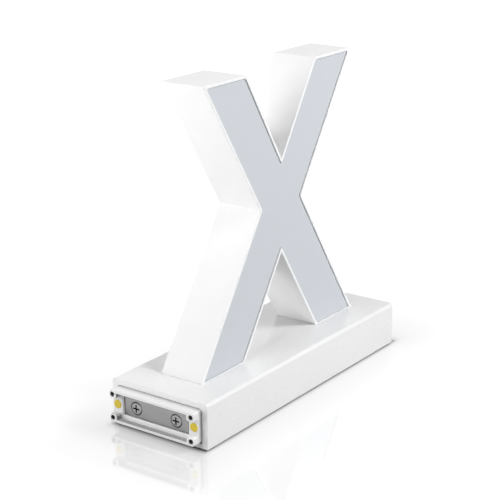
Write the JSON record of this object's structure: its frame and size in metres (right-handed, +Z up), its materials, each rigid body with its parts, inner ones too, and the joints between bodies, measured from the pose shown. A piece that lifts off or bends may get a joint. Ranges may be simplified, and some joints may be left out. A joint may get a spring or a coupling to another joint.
{
  "type": "light-up letter",
  "caption": "Light-up letter with a recessed diffuser on a bar base, with a magnetic plug at one end and a matching socket with sprung contacts at the other.",
  "frame": {"origin": "on the table, under the middle of the whole object with its plug", "axes": "+X along the base from the plug end to the socket end, letter front facing -Y, +Z up"},
  "size_m": [0.1514, 0.05, 0.1445],
  "materials": {
    "base_white": "fine moulded grain",
    "cover_white": "matte",
    "foot_rubber": "matte rubber",
    "letter_white": "satin",
    "diffuser_grey": "frosted sheet",
    "board_white": "white solder mask",
    "chip_yellow": "phosphor face",
    "steel_screw": "zinc plated",
    "bright_screw": "nickel plated",
    "block_alloy": "milled",
    "bush_rubber": "matte rubber",
    "frame_white": "satin",
    "magnet_nickel": "nickel plated",
    "contact_gold": "gold plated",
    "pin_steel": "ground",
    "spring_steel": "drawn wire",
    "board_green": "green solder mask",
    "component_black": "moulded",
    "lead_black": "insulation",
    "lead_red": "insulation"
  },
  "bodies": {
    "sign": {"base_shell": "base_white", "bottom_cover": "cover_white", "underside_screws": "steel_screw", "foot_front_left": "foot_rubber", "foot_front_right": "foot_rubber", "foot_rear_left": "foot_rubber", "foot_rear_right": "foot_rubber", "letter_shell": "letter_white", "back_panel": "letter_white", "back_panel_screws": "steel_screw", "front_diffuser": "diffuser_grey", "led_board": "board_white", "led_chips": "chip_yellow", "led_board_screws": "steel_screw", "anchor_block_left": "block_alloy", "anchor_block_right": "block_alloy", "letter_fixing_screws": "steel_screw", "cable_bush": "bush_rubber", "plug_frame": "frame_white", "plug_magnet": "magnet_nickel", "plug_magnet_screws": "bright_screw", "plug_contact_front": "contact_gold", "plug_contact_rear": "contact_gold", "socket_frame": "frame_white", "socket_magnet": "magnet_nickel", "socket_magnet_screws": "bright_screw", "guide_pins": "pin_steel", "contact_barrel_front": "contact_gold", "contact_barrel_rear": "contact_gold", "contact_spring_front": "spring_steel", "contact_spring_rear": "spring_steel", "driver_board": "board_green", "board_components": "component_black", "board_screws": "steel_screw", "plug_lead_front": "lead_black", "plug_lead_rear": "lead_red", "socket_lead_front": "lead_black", "socket_lead_rear": "lead_red", "letter_lead_front": "lead_black", "letter_lead_rear": "lead_red"},
    "contact_front": {"contact_plunger_front": "contact_gold"},
    "contact_rear": {"contact_plunger_rear": "contact_gold"}
  },
  "joints": [
    {"name": "contact_front_press", "type": "slide", "parent": "sign", "child": "contact_front", "axis": [-1, 0, 0], "range_m": [0, 0.0012], "stiffness_N_per_m": 500, "springref_m": -0.0006, "deforming": ["contact_spring_front"]},
    {"name": "contact_rear_press", "type": "slide", "parent": "sign", "child": "contact_rear", "axis": [-1, 0, 0], "range_m": [0, 0.0012], "stiffness_N_per_m": 500, "springref_m": -0.0006, "deforming": ["contact_spring_rear"]}
  ]
}
